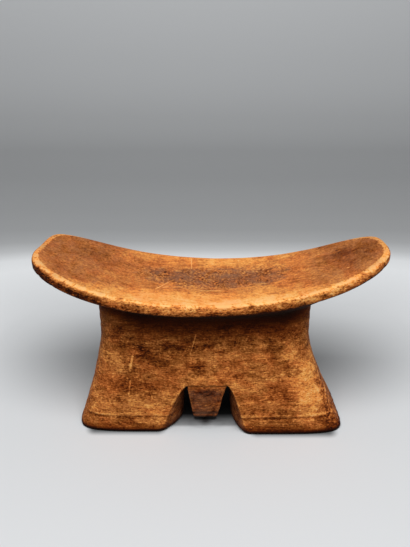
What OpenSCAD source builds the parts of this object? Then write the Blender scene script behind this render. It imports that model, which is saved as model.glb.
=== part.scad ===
// Low wooden headrest carved from one block: a saddle-shaped head plate on a flared pedestal,
// which two splayed notches cut into a pair of broad feet and a short hanging tongue.
// X runs along the plate, Y from front to back, Z up. The feet stand on z = 0. Millimetres.

/* [Head plate] */
// Length of the head plate from tip to tip
plate_length = 240; // [200:1:290]
// Depth of the head plate across its middle
plate_depth = 94; // [84:1:130]
// Squareness of the outline's left half: 2 is an ellipse, higher is squarer
left_squareness = 3.8; // [2.4:0.1:4.5]
// Squareness of the outline's right half
right_squareness = 2.7; // [2.4:0.1:4.5]
// Share by which the outline swells on the left and draws in on the right
plate_swell = 0.14; // [0:0.01:0.35]
// Height of the lowest point of the dish above the ground
dish_height = 105; // [96:0.5:130]
// Rise of the left tip above the lowest point of the dish
left_tip_rise = 28.7; // [16:0.5:38]
// Rise of the right tip above the lowest point of the dish
right_tip_rise = 30; // [16:0.5:38]
// Power of the saddle curve: 2 is a parabola, higher keeps the middle flatter
saddle_power = 2.27; // [1.8:0.05:2.8]
// Hollow of the dish from its long edges to its middle
cross_hollow = 1.2; // [0:0.1:4]
// Height of the rim's face at the middle of the long edges
rim_height = 8; // [5.5:0.1:10]
// Height of the rim's face at the left tip
left_tip_height = 9.6; // [6:0.1:14]
// Height of the rim's face at the right tip
right_tip_height = 8.2; // [6:0.1:14]
// Radius worn on the upper edge of the rim
upper_wear = 2.6; // [0.5:0.1:3]
// Radius left on the lower edge of the rim
lower_wear = 1.8; // [0.5:0.1:2.2]
// Thickness of the head plate where it meets the neck
neck_thickness = 14; // [9:0.5:18]
// Fillet between the underside of the plate and the neck
neck_fillet = 5; // [1:0.5:9]

/* [Pedestal] */
// Width of the pedestal at its waist
waist_width = 146; // [120:0.5:156]
// Depth of the pedestal at its waist, front to back
waist_depth = 58; // [44:0.5:66]
// Sideways shift of the waist from the middle of the plate
waist_shift = -5.3; // [-8:0.1:8]
// Height above the ground at which the pedestal starts to flare
flare_height = 72.5; // [52:0.5:86]
// Power of the flare: 1 is straight, higher is more hollow
flare_power = 1.37; // [1:0.05:2]
// Squareness of the waist's plan: 2 is an ellipse, higher is squarer
waist_squareness = 5; // [3:0.1:9]

/* [Feet] */
// Width over both feet at the ground
foot_width = 193.5; // [174:0.5:214]
// Depth of the feet at the ground, front to back
foot_depth = 73; // [60:0.5:80]
// Sideways shift of the feet from the middle of the plate
foot_shift = -0.9; // [-8:0.1:8]
// Squareness of the feet's plan at the ground
foot_squareness = 7; // [4:0.1:12]
// Radius worn round the edge of each sole
sole_wear = 3.5; // [1:0.5:7]
// Radius on the upright edges beside the notches
notch_edge_wear = 1.6; // [0.5:0.1:3]

/* [Notches] */
// Height of the top of the notches above the ground
notch_height = 37.5; // [28:0.5:48]
// Place of the left notch's top along the plate
left_notch_x = -17.6; // [-26:0.1:-14]
// Place of the right notch's top along the plate
right_notch_x = 10.4; // [8:0.1:22]
// Width of the chisel-cut flat at the top of each notch
notch_top_width = 2.8; // [1:0.1:5]
// How far the left foot's wall draws back at the faces, from notch top to ground
left_mouth_run = 18; // [10:0.5:26]
// How far the right foot's wall draws back at the faces, from notch top to ground
right_mouth_run = 13.5; // [8:0.5:26]
// How far each foot's wall draws back at mid depth, where the notch is narrowest
throat_run = 4.5; // [2:0.1:8]
// Power of the splay from throat to mouth: higher keeps the throat longer
splay_power = 2.8; // [1.5:0.1:5]
// Power of the wall's curve from notch top to ground: under 1 bows it outwards
wall_power = 0.8; // [0.6:0.05:1.2]

/* [Tongue] */
// Height of the tongue's end above the ground
tongue_clearance = 12.5; // [6:0.5:18]
// How far each side of the tongue draws in from its root to its end
tongue_taper = 3.6; // [1:0.1:6]
// How far the front and back of the tongue lean inwards at its end
tongue_lean = 2.5; // [0:0.1:6]
// Radius worn round the tongue's end
tongue_wear = 1.6; // [0.5:0.1:3]

/* [Hidden] */

// Points round a ring, and rings along each stretch of a surface
ring_points = 80;
dish_rings = 7;
edge_rings = 4;
under_rings = 4;
pedestal_rings = 12;
foot_arc_steps = 38;
foot_wall_steps = 8;
foot_rings = 9;
tongue_rings = 5;
corner_steps = 3;
// Share by which the points of a ring crowd towards its four corners
corner_crowding = 0.45;
ring_corners = 4;
// Angle to either side over which the direction of the plate's outline is taken
normal_step = 0.5;
// Power by which the face of the rim grows towards the tips
rim_power = 3;
// Power that crowds the rings of a foot towards the top of its notch
foot_ring_power = 1.6;
// The notch edges pass from crisp to worn over this height, from this share of their full radius
notch_crisp = 8;
notch_crisp_share = 0.1;
// Straight stretch of neck that stays with the plate below the fillet
neck_land = 1.5;
// Power by which the underside thins from the neck out to the rim
under_power = 1.3;

plate_half_length = plate_length / 2;
plate_half_depth = plate_depth / 2;
// The plate leaves the pedestal here, on a level joint just under the lowest stretch of the neck's fillet
joint_height = dish_height - neck_thickness - neck_fillet - neck_land;

// Small helpers
function mix(a, b, t) = a + (b - a) * t;
function bend(a, corner, b, t) = mix(mix(a, corner, t), mix(corner, b, t), t);
function squircle(angle, n) = pow(pow(abs(cos(angle)), n) + pow(abs(sin(angle)), n), -1 / n);
function squircle_side(u, n) = pow(max(0, 1 - pow(abs(u), n)), 1 / n);
function degrees(radians) = radians * 180 / PI;
function crowded(angle) = angle + degrees(corner_crowding * sin(ring_corners * angle) / ring_corners);
function ring_angle(i) = crowded(360 * i / ring_points);

// Outline of the head plate, its outward normal and its saddle surface
function plate_outline(angle) =
    let (
        r = squircle(angle, cos(angle) < 0 ? left_squareness : right_squareness),
        u = r * cos(angle),
        swell = 1 - plate_swell * u * (1 - u * u)
    )
    [plate_half_length * u, plate_half_depth * r * sin(angle) * swell];
function plate_normal(angle) =
    let (along = plate_outline(angle + normal_step) - plate_outline(angle - normal_step))
    [along.y, -along.x] / norm(along);
function tip_rise(x) = x < 0 ? left_tip_rise : right_tip_rise;
function saddle(x) = tip_rise(x) * pow(abs(x) / plate_half_length, saddle_power);
function dish_z(p) = dish_height + saddle(p.x) + cross_hollow * pow(p.y / plate_half_depth, 2);
function tip_height(x) = x < 0 ? left_tip_height : right_tip_height;
function face_height(x) =
    mix(rim_height, tip_height(x), pow(min(1, abs(x) / plate_half_length), rim_power));

// Plan section of the pedestal and feet at a height, by one flare for width, depth and shift
function flare(z) = z < flare_height ? pow((flare_height - z) / flare_height, flare_power) : 0;
function half_width(z) = mix(waist_width, foot_width, flare(z)) / 2;
function half_depth(z) = mix(waist_depth, foot_depth, flare(z)) / 2;
function shift(z) = mix(waist_shift, foot_shift, flare(z));
function squareness(z) = mix(waist_squareness, foot_squareness, flare(z));
function section(angle, z, out = 0) =
    let (
        n = squareness(z),
        r = squircle(angle, n),
        p = [shift(z) + half_width(z) * r * cos(angle), half_depth(z) * r * sin(angle)],
        q = [half_depth(z) * sign(cos(angle)) * pow(abs(r * cos(angle)), n - 1),
             half_width(z) * sign(sin(angle)) * pow(abs(r * sin(angle)), n - 1)]
    )
    p + out * q / norm(q);
function at_height(p, z) = [p.x, p.y, z];

// Skin over rings of equal count that climb from a flat base; a tip closes the top with a fan
module skin(rings, tip = undef) {
    n = len(rings[0]);
    last = len(rings) - 1;
    has_tip = !is_undef(tip);
    points = [for (ring = rings) each ring, if (has_tip) tip];
    walls = [
        for (j = [0 : last - 1], i = [0 : n - 1])
            let (k = (i + 1) % n, a = j * n + i, b = (j + 1) * n + i, c = (j + 1) * n + k, d = j * n + k)
            each [[a, b, c], [a, c, d]]
    ];
    base = [[for (i = [0 : n - 1]) i]];
    top = has_tip
        ? [for (i = [0 : n - 1]) [last * n + i, len(points) - 1, last * n + (i + 1) % n]]
        : [[for (i = [n - 1 : -1 : 0]) last * n + i]];
    polyhedron(points = points, faces = concat(base, walls, top), convexity = 6);
}

// Head plate with the top of the neck, as one skin that climbs from the joint up to the dish
function rim_point(angle, inset, drop) =
    let (p = plate_outline(angle) - inset * plate_normal(angle))
    at_height(p, dish_z(p) - drop);
// Underside height over the neck's outline, which the fillet starts from
function neck_top(p) = dish_z(p) - neck_thickness;
function fillet_point(angle, t) =
    let (
        top_z = neck_top(section(angle, joint_height)),
        z = top_z - neck_fillet * (1 - sin(t))
    )
    at_height(section(angle, z, neck_fillet * (1 - cos(t))), z);
function under_point(angle, s) =
    let (
        inner = fillet_point(angle, 90),
        outer_plan = plate_outline(angle) - lower_wear * plate_normal(angle),
        p = mix([inner.x, inner.y], outer_plan, s),
        inner_drop = dish_z(inner) - inner.z,
        drop = mix(inner_drop, face_height(p.x), 1 - pow(1 - s, under_power))
    )
    at_height(p, dish_z(p) - drop);

module cradle() {
    lower = [for (k = [1 : edge_rings]) 90 * k / edge_rings];
    rings = [
        [for (i = [0 : ring_points - 1]) at_height(section(ring_angle(i), joint_height), joint_height)],
        for (k = [0 : edge_rings])
            [for (i = [0 : ring_points - 1]) fillet_point(ring_angle(i), 90 * k / edge_rings)],
        for (k = [1 : under_rings])
            [for (i = [0 : ring_points - 1]) under_point(ring_angle(i), k / under_rings)],
        for (t = lower)
            [for (i = [0 : ring_points - 1])
                let (
                    a = ring_angle(i),
                    full = face_height(plate_outline(a).x) - lower_wear * (1 - cos(t))
                )
                rim_point(a, lower_wear * (1 - sin(t)), full)],
        for (k = [0 : edge_rings])
            [for (i = [0 : ring_points - 1])
                let (t = 90 * k / edge_rings)
                rim_point(ring_angle(i), upper_wear * (1 - cos(t)), upper_wear * (1 - sin(t)))],
        for (k = [1 : dish_rings - 1])
            [for (i = [0 : ring_points - 1])
                let (
                    rim = plate_outline(ring_angle(i)) - upper_wear * plate_normal(ring_angle(i)),
                    p = rim * (1 - k / dish_rings)
                )
                at_height(p, dish_z(p))]
    ];
    color("sienna") skin(rings, [0, 0, dish_height]);
}

module pedestal() {
    rings = [
        for (k = [0 : pedestal_rings])
            let (z = mix(notch_height, joint_height, k / pedestal_rings))
            [for (i = [0 : ring_points - 1]) at_height(section(ring_angle(i), z), z)]
    ];
    color("saddlebrown") skin(rings);
}

// Wall of a foot beside its notch; side is -1 for the left foot and 1 for the right
function notch_x(side) = side < 0 ? left_notch_x : right_notch_x;
function mouth_run(side) = side < 0 ? left_mouth_run : right_mouth_run;
function wall_x(side, z, depth_share) =
    let (
        run = mix(throat_run, mouth_run(side), pow(min(1, abs(depth_share)), splay_power)),
        fall = pow(max(0, notch_height - z) / notch_height, wall_power)
    )
    notch_x(side) + side * (notch_top_width / 2 + run * fall);
// Point of the front face at a place along the plate, on the same section as the pedestal's
function face_point(x, z) =
    [x, -half_depth(z) * squircle_side((x - shift(z)) / half_width(z), squareness(z))];
// The upright edges beside a notch are crisp at its top and worn lower down
function edge_wear(z) = notch_edge_wear * min(1, notch_crisp_share + (notch_height - z) / notch_crisp);

// Plan section of a foot, from its front notch edge round its outer end and back along the wall
function foot_section(side, z, inset) =
    let (
        w = half_width(z),
        d = half_depth(z),
        wear = edge_wear(z),
        edge = face_point(wall_x(side, z, 1), z),
        start = face_point(edge.x + side * wear, z),
        inner = [wall_x(side, z, 1 - wear / d), edge.y + wear],
        reach = atan2(-start.y / d, side * (start.x - shift(z)) / w),
        arc = [
            for (k = [0 : foot_arc_steps])
                let (a = mix(-reach, reach, k / foot_arc_steps), r = squircle(a, squareness(z)))
                [shift(z) + side * w * r * cos(a), d * r * sin(a)]
        ],
        corner = [for (k = [1 : corner_steps]) bend(start, edge, inner, k / corner_steps)],
        back_corner = [for (p = corner) [p.x, -p.y]],
        wall = [
            for (k = [1 : foot_wall_steps - 1])
                let (y = mix(-inner.y, inner.y, k / foot_wall_steps))
                [wall_x(side, z, y / d), y]
        ],
        front_corner = [for (k = [corner_steps : -1 : 1]) corner[k - 1]],
        outline = concat(arc, back_corner, wall, front_corner),
        outer_x = shift(z) + side * w,
        middle = (outer_x + edge.x) / 2,
        half = abs(outer_x - edge.x) / 2
    )
    [for (p = outline) [mix(p.x, middle, inset / half), p.y * (1 - inset / d), z]];

module foot(side) {
    levels = [
        for (k = [0 : edge_rings - 1])
            let (t = 90 * k / edge_rings)
            [sole_wear * (1 - cos(t)), sole_wear * (1 - sin(t))],
        for (k = [0 : foot_rings])
            [mix(notch_height, sole_wear, pow(1 - k / foot_rings, foot_ring_power)), 0]
    ];
    rings = [for (level = levels) foot_section(side, level[0], level[1])];
    ordered = side > 0 ? rings : [for (ring = rings) [for (i = [len(ring) - 1 : -1 : 0]) ring[i]]];
    skin(ordered);
}

module left_foot() {
    color("peru") foot(-1);
}

module right_foot() {
    color("peru") foot(1);
}

// Tongue between the notches, a tapering block whose faces lean in as it comes down
module centre_tongue() {
    height = notch_height - tongue_clearance;
    function tongue_ring(z, inset) =
        let (
            fall = (notch_height - z) / height,
            x0 = left_notch_x + notch_top_width / 2 + tongue_taper * fall + inset,
            x1 = right_notch_x - notch_top_width / 2 - tongue_taper * fall - inset,
            y1 = half_depth(z) - tongue_lean * fall - inset,
            corners = [[x1, -y1], [x1, y1], [x0, y1], [x0, -y1]],
            // Directions of the sides that lead to each corner, and on from it
            leads = [[1, 0], [0, 1], [-1, 0], [0, -1]],
            r = edge_wear(z)
        )
        [
            for (c = [0 : ring_corners - 1], k = [0 : corner_steps])
                let (
                    before = corners[c] - r * leads[c],
                    after = corners[c] + r * leads[(c + 1) % ring_corners]
                )
                at_height(bend(before, corners[c], after, k / corner_steps), z)
        ];
    rings = [
        for (k = [0 : edge_rings - 1])
            let (t = 90 * k / edge_rings)
            tongue_ring(tongue_clearance + tongue_wear * (1 - cos(t)), tongue_wear * (1 - sin(t))),
        for (k = [0 : tongue_rings])
            tongue_ring(mix(tongue_clearance + tongue_wear, notch_height, k / tongue_rings), 0)
    ];
    color("chocolate") skin(rings);
}

cradle();
pedestal();
left_foot();
right_foot();
centre_tongue();
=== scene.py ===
import math

import bmesh
import bpy
import numpy as np
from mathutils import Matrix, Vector


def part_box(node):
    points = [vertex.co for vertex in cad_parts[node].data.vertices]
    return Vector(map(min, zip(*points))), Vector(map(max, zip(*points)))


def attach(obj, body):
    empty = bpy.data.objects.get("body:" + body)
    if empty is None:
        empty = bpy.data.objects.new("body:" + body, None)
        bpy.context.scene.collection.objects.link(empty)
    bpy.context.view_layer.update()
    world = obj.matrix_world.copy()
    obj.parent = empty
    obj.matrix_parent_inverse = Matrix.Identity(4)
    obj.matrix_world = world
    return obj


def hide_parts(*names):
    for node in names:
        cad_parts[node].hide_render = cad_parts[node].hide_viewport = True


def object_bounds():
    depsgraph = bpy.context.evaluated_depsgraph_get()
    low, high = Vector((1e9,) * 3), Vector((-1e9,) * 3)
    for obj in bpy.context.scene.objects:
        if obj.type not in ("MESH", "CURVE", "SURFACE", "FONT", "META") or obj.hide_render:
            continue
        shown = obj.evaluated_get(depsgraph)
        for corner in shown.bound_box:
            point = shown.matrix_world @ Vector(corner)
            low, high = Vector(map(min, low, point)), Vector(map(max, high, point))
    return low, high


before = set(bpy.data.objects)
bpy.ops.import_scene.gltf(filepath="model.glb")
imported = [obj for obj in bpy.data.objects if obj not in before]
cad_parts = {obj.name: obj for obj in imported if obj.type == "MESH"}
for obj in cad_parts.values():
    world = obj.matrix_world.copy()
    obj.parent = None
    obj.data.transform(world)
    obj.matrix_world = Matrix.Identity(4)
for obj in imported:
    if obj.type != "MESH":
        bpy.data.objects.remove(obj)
cad_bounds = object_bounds()


# The block. The whole headrest is carved from one block of dense, fine-grained wood, with the grain along
# its length. Its form is written as a signed distance in millimetres, negative inside the wood, so that the
# plate, the pedestal and the notches can be joined and cut with rounded edges as a carver leaves them.
mm = 0.001


def node_box(node):
    """Lowest and highest corner of one carved member in the frame, in millimetres."""
    low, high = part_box(node)
    return np.array(low) / mm, np.array(high) / mm


def between(a, b, share):
    return a + (b - a) * share


def smooth(low, high, value):
    """0 below low, 1 above high, with an even swing between."""
    share = np.clip((value - low) / (high - low), 0, 1)
    return share * share * (3 - 2 * share)


def cut_by(a, b, radius):
    """The space that is inside both a and b, with the edge between them rounded."""
    corner = np.hypot(np.maximum(a + radius, 0), np.maximum(b + radius, 0))
    return np.minimum(np.maximum(a, b), -radius) + corner


def joined_to(a, b, radius):
    """The space that is inside a or b, with a fillet between them."""
    return -cut_by(-a, -b, radius)


def rounded_outline(x, y, half_length, half_depth, squareness):
    """Signed distance in plan from a rounded rectangle: squareness 2 is an ellipse, and more is squarer."""
    tiny = 1e-6
    a = np.abs(x) / half_length + tiny
    b = np.abs(y) / half_depth + tiny
    size = (a**squareness + b**squareness) ** (1 / squareness)
    slope_x = (a / size) ** (squareness - 1) / half_length
    slope_y = (b / size) ** (squareness - 1) / half_depth
    return (size - 1) / np.hypot(slope_x, slope_y)


# The head plate. A saddle-shaped plate that swells towards its left end, rubbed round on its upper edge by
# use and left crisper below, thick over the neck and thin at the rim.
plate_low, plate_high = node_box("cradle")
half_length = (plate_high[0] - plate_low[0]) / 2
half_depth = 47.0
left_front_squareness = 3.8
left_back_squareness = 4.7
right_squareness = 2.85
plate_swell = 0.14
dish_height = 105.0
left_tip_rise = 28.7
right_tip_rise = 30.0
saddle_power = 2.27
cross_hollow = 1.2
rim_height = 8.0
left_tip_height = 10.1
right_tip_height = 8.6
rim_power = 1.6
upper_wear = 2.6
upper_wear_tips = 4.6
back_wear_share = 0.25
back_wear_from = -5.0
back_wear_to = 30.0
tip_wear_power = 4
left_tip_skew = 2.6
skew_centre = 0.2
lower_wear = 1.8
neck_thickness = 14.0
neck_fillet = 5.0
under_power = 1.3


def plan_squareness(x, y):
    left = np.where(y < 0, left_front_squareness, left_back_squareness)
    return np.where(x < 0, left, right_squareness)


def swell_at(u):
    """How deep the plate is from front to back at a share of its half length, against its middle."""
    return 1 - plate_swell * u * (1 - u * u)


def plate_side(x, y):
    """Distance in plan from the plate's outline, negative inside."""
    skew = left_tip_skew * (y / half_depth + skew_centre) * (x / half_length) ** 2
    x = x - np.where(x < 0, skew, 0)
    deep = y / swell_at(x / half_length)
    return rounded_outline(x, deep, half_length, half_depth, plan_squareness(x, y))


def tip_rise(x):
    return np.where(x < 0, left_tip_rise, right_tip_rise)


def dish_z(x, y):
    u = np.abs(x) / half_length
    return dish_height + tip_rise(x) * u**saddle_power + cross_hollow * (y / half_depth) ** 2


def dish_steepness(x):
    u = np.abs(x) / half_length
    return tip_rise(x) * saddle_power * u ** (saddle_power - 1) / half_length


def face_height(x):
    """Height of the rim's face, from its worn upper edge to its lower one."""
    u = np.minimum(1, np.abs(x) / half_length)
    tip = np.where(x < 0, left_tip_height, right_tip_height)
    return between(rim_height, tip, u**rim_power)


# The pedestal. The same block of wood goes on below the plate as a waisted column, hewn with an adze and
# smoothed with a knife. It flares down into the feet, and grows squarer in plan as it widens.
joint_height = plate_low[2]
waist_width = 147.0
waist_depth = 58.0
waist_shift = -5.3
flare_height = 72.5
flare_power = 1.37
waist_squareness = 5.0
foot_width = 194.5
foot_depth = 73.0
foot_shift = -0.9
foot_squareness = 7.0
sole_wear = 3.5


def flare(z):
    return np.clip((flare_height - z) / flare_height, 0, 1) ** flare_power


def pedestal_depth(z):
    return between(waist_depth, foot_depth, flare(z)) / 2


def pedestal_side(x, y, z):
    """Distance from the wall of the pedestal and feet at a height, negative inside."""
    share = flare(z)
    width = between(waist_width, foot_width, share) / 2
    shift = between(waist_shift, foot_shift, share)
    squareness = between(waist_squareness, foot_squareness, share)
    return rounded_outline(x - shift, y, width, pedestal_depth(z), squareness)


# The notches and the tongue. Two splayed notches are sawn up from below and opened with a chisel towards
# both faces, which leaves a short tongue hanging clear of the ground between them.
notch_height = node_box("pedestal")[0][2]
tongue_end = node_box("centre_tongue")[0][2]
notch_ceiling = notch_height + 0.5
left_notch = -17.6
right_notch = 10.4
notch_top = 1.0
left_mouth_run = 18.0
right_mouth_run = 13.5
throat_run = 3.2
splay_power = 2.8
wall_power = 0.7
notch_edge_wear = 0.9
notch_crisp = 8.0
notch_crisp_share = 0.3
notch_crisp_least = 0.2
foot_corner_wear = 2.6
foot_corner_from = 9.0
foot_corner_full = 1.0
chisel_corner = 0.5
tongue_left_top = -18.0
tongue_left_end = -13.5
tongue_right_top = 10.2
tongue_right_end = 3.4
tongue_lean = 2.5
tongue_step = 0.9
tongue_wear = 1.4
tongue_root = 4.0


def notch_wall(side, x, y, z):
    """Distance from the wall of one foot beside its notch: negative in the notch, positive in the foot."""
    depth = pedestal_depth(z)
    share = np.minimum(1, np.abs(y) / depth)
    drop = np.clip((notch_height - z) / notch_height, 0.001, 1)
    mouth = left_mouth_run if side < 0 else right_mouth_run
    top = left_notch if side < 0 else right_notch
    run = between(throat_run, mouth, share**splay_power)
    place = top + side * (notch_top / 2 + run * drop**wall_power)
    across = (mouth - throat_run) * splay_power * share ** (splay_power - 1) / depth * drop**wall_power
    down = run * wall_power / notch_height * drop ** (wall_power - 1)
    return side * (x - place) / np.sqrt(1 + across**2 + down**2)


def tongue_form(x, y, z):
    fall = np.clip((notch_height - z) / (notch_height - tongue_end), 0, None)
    left = between(tongue_left_top, tongue_left_end, fall)
    right = between(tongue_right_top, tongue_right_end, fall)
    face = pedestal_depth(z) - tongue_step - tongue_lean * fall
    sides = np.maximum(left - x, x - right)
    block = cut_by(sides, np.abs(y) - face, tongue_wear)
    return np.maximum(cut_by(block, tongue_end - z, tongue_wear), z - notch_height - tongue_root)


def headrest_form(x, y, z):
    """Signed distance from the surface of the whole carving, in millimetres."""
    side = plate_side(x, y)
    wall = pedestal_side(x, y, z)
    top_z = dish_z(x, y)
    steep = np.sqrt(1 + dish_steepness(x) ** 2)
    out = np.maximum(pedestal_side(x, y, joint_height) - neck_fillet, 0)
    rest = np.maximum(-side - lower_wear, 0.001)
    thinning = 1 - (1 - out / (out + rest)) ** under_power
    under_z = top_z - between(neck_thickness, face_height(x), thinning)
    to_tips = np.minimum(1, np.abs(x) / half_length) ** tip_wear_power
    at_back = between(1, back_wear_share, smooth(back_wear_from, back_wear_to, y))
    worn = between(upper_wear, upper_wear_tips, to_tips * at_back)
    plate = cut_by(side, (z - top_z) / steep, worn)
    plate = cut_by(plate, (under_z - z) / steep, lower_wear)
    column = np.maximum(cut_by(wall, -z, sole_wear), z - top_z + neck_thickness / 2)
    block = joined_to(plate, column, neck_fillet)
    gap = np.maximum(notch_wall(-1, x, y, z), notch_wall(1, x, y, z))
    gap = cut_by(gap, z - notch_ceiling, chisel_corner)
    crisp = notch_crisp_share + (notch_height - z) / notch_crisp
    edge = notch_edge_wear * np.clip(crisp, notch_crisp_least, 1)
    edge += foot_corner_wear * (1 - smooth(foot_corner_full, foot_corner_from, z))
    feet = cut_by(block, -gap, edge)
    return joined_to(feet, tongue_form(x, y, z), chisel_corner)


def values_near(form, axes, cell):
    """Values of a form on a grid, exact near its surface: elsewhere a coarse grid gives the sign."""
    stride = 5
    near_steps = 1.6
    coarse = form(*np.meshgrid(*[axis[::stride] for axis in axes], indexing="ij"))
    nearest = [np.minimum(np.arange(len(a)) + stride // 2, len(a) - 1) // stride for a in axes]
    nearest = [np.minimum(n, size - 1) for n, size in zip(nearest, coarse.shape)]
    values = coarse[np.ix_(*nearest)]
    near = np.argwhere(np.abs(values) < near_steps * stride * cell)
    values[tuple(near.T)] = form(*[axis[index] for axis, index in zip(axes, near.T)])
    return values


def net_over(form, low, high, cell):
    """Quads over the zero level of a form: one point in each grid cell that the surface passes through."""
    axes = [np.arange(a - 1.5 * cell, b + 2 * cell, cell) for a, b in zip(low, high)]
    values = values_near(form, axes, cell)
    inside = values < 0
    corners = [(i, j, k) for i in (0, 1) for j in (0, 1) for k in (0, 1)]
    size = np.array(inside.shape) - 1

    def at_corner(array, corner):
        return array[tuple(slice(c, c + s) for c, s in zip(corner, size))]

    count = sum(at_corner(inside, c).astype(np.int8) for c in corners)
    cells = np.argwhere((count > 0) & (count < 8))
    numbers = np.full(size, -1, np.int32)
    numbers[tuple(cells.T)] = np.arange(len(cells))
    total = np.zeros((len(cells), 3))
    crossings = np.zeros(len(cells))
    for start in corners:
        for axis in range(3):
            if start[axis]:
                continue
            end = list(start)
            end[axis] = 1
            a = values[tuple((cells + start).T)]
            b = values[tuple((cells + end).T)]
            crosses = (a < 0) != (b < 0)
            share = np.where(crosses, a / np.where(crosses, a - b, 1), 0)
            point = np.array(start) + share[:, None] * (np.array(end) - start)
            total += np.where(crosses[:, None], point, 0)
            crossings += crosses
    first = np.array([axis[0] for axis in axes])
    points = first + cell * (cells + total / crossings[:, None])
    quads = []
    for axis in range(3):
        second, third = (axis + 1) % 3, (axis + 2) % 3
        shape = np.array(inside.shape)
        shape[axis] -= 1
        low_side = inside[tuple(slice(0, s) for s in shape)]
        high_side = np.roll(inside, -1, axis)[tuple(slice(0, s) for s in shape)]
        edges = np.argwhere(low_side != high_side)
        edges = edges[(edges[:, second] > 0) & (edges[:, third] > 0)]
        outward = low_side[tuple(edges.T)]
        around = []
        for back_second, back_third in ((0, 0), (1, 0), (1, 1), (0, 1)):
            place = edges.copy()
            place[:, second] -= back_second
            place[:, third] -= back_third
            around.append(numbers[tuple(place.T)])
        quad = np.stack(around, 1)
        quads.append(np.where(outward[:, None], quad, quad[:, ::-1]))
    return points, np.concatenate(quads)


def slope_of(form, points, reach):
    """Gradient of a form at each point, from its change over a short reach to either side."""
    sides = []
    for axis in range(3):
        step = np.zeros(3)
        step[axis] = reach
        sides.append(form(*(points + step).T) - form(*(points - step).T))
    return np.stack(sides, 1) / (2 * reach)


def settle_on(form, points, cell, rounds=3, reach=0.05):
    """Moves points onto the zero level of a form."""
    for _ in range(rounds):
        slope = slope_of(form, points, reach)
        step = form(*points.T)[:, None] * slope / np.sum(slope**2, 1, keepdims=True)
        points = points - np.clip(step, -cell, cell)
    return points


def neighbours_mean(quads, values):
    """Mean of the values at the points that share a quad's side with each point."""
    total = np.zeros_like(values)
    count = np.zeros(len(values))
    for k in range(4):
        here, after = quads[:, k], quads[:, (k + 1) % 4]
        for a, b in ((here, after), (after, here)):
            for axis in range(values.shape[1]):
                total[:, axis] += np.bincount(a, values[b, axis], len(values))
            count += np.bincount(a, minlength=len(values))
    return total / count[:, None]


# The tool marks and the wear. The adze and the knife leave shallow hollows over the walls, a chisel steps the
# feet in near the ground and scores the tongue, and years of handling have nicked the rim of the plate.
cell = 0.95
relaxings = 2
relaxing_share = 0.6
low_corner, high_corner = [np.array(corner) / mm for corner in cad_bounds]
points, quads = net_over(headrest_form, low_corner, high_corner, cell)
for _ in range(relaxings):
    relaxed = between(points, neighbours_mean(quads, points), relaxing_share)
    points = settle_on(headrest_form, relaxed, cell)

hand = np.random.default_rng(26)
lattice = hand.random(8191)
lattice_strides = (1, 1619, 6763)
lattice_middle = 100


def hollows(places, size):
    """Soft random hollows between 0 and 1, of a size in millimetres along each axis."""
    scaled = places / size + lattice_middle
    corner_low = np.floor(scaled).astype(np.int64)
    share = smooth(0, 1, scaled - corner_low)
    total = np.zeros(len(places))
    for corner in np.ndindex(2, 2, 2):
        weight = np.prod(np.where(corner, share, 1 - share), axis=1)
        place = (corner_low + corner) @ lattice_strides
        total += weight * lattice[place % len(lattice)]
    return total


def unit(vectors):
    return vectors / np.linalg.norm(vectors, axis=1, keepdims=True)


def ridge(distance, width):
    """1 on a line, falling round to 0 about two widths away from it."""
    return np.exp(-((distance / width) ** 2))


def rim_place(angle, share):
    """A place on the rim: angle 0 is the right tip, a quarter turn is the back, and share is how far down."""
    ways = (np.cos(angle), np.sin(angle))
    power = 2 / plan_squareness(*ways)
    u, v = [np.sign(way) * np.abs(way) ** power for way in ways]
    place_x = half_length * u
    place_y = half_depth * v * swell_at(u)
    return place_x, place_y, dish_z(place_x, place_y) - share * face_height(place_x)


# A fade is where a swing starts and where it is full, in millimetres or as a share of facing one way.
front_fade = (0.45, 0.8)
end_fade = (0.3, 0.7)
plate_fade = (-2, 2)
dish_fade = (0.35, 0.75)
rim_fade = (2, 6)
ground_fade = (0.1, 2.5)
outward = unit(slope_of(headrest_form, points, reach=0.2))
x, y, z = points.T
inset = -plate_side(x, y)
drop = dish_z(x, y) - z
facing_up = outward[:, 2]
facing_front = smooth(*front_fade, np.abs(outward[:, 1]))
end_grain = smooth(*end_fade, np.abs(outward[:, 0]))
on_plate = smooth(*plate_fade, z - joint_height - neck_fillet)
on_dish = smooth(*dish_fade, facing_up) * on_plate
on_rim = on_plate * (1 - smooth(*rim_fade, inset))
on_wall = 1 - on_plate
off_ground = smooth(*ground_fade, z)
below_plane = z < notch_height

# Each kind of mark: where it lies, its greatest depth, and its size along each axis.
marks = (
    (on_wall, 0.5, (21, 15, 9)),
    (on_wall, 0.14, (7, 6, 3.5)),
    (on_plate * (1 - on_dish), 0.5, (17, 10, 8)),
    (on_dish, 0.2, (27, 16, 16)),
    (on_dish, 0.07, (6, 4, 4)),
    (on_rim, 0.35, (18, 18, 7)),
    (on_rim, 0.05, (3.2, 3.2, 2.6)),
    (on_wall * end_grain, 0.4, (3.4, 2.6, 2.6)),
)
depth = sum(where * deepest * hollows(points, size) for where, deepest, size in marks)

foot_step = 13.3
foot_step_wander = 1.2
foot_step_waves = (40, 40, 60)
foot_step_recess = 0.45
foot_step_blur = 0.7
foot_step_score = 0.3
tongue_score_height = tongue_end + 3.6
tongue_score = 0.6
score_width = 0.8
tongue_middle = (left_notch + right_notch) / 2
on_tongue = np.abs(x - tongue_middle) < (right_notch - left_notch) / 2
step_z = foot_step + foot_step_wander * (hollows(points, foot_step_waves) - 0.5)
foot_score = ridge(z - step_z, score_width)
end_score = ridge(z - tongue_score_height, score_width)
below_step = 1 - smooth(-foot_step_blur, foot_step_blur, z - step_z)
scored = facing_front * np.where(on_tongue, end_score, foot_score) * below_plane
depth += facing_front * ~on_tongue * foot_step_recess * below_step
depth += scored * np.where(on_tongue, tongue_score, foot_step_score)

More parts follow.
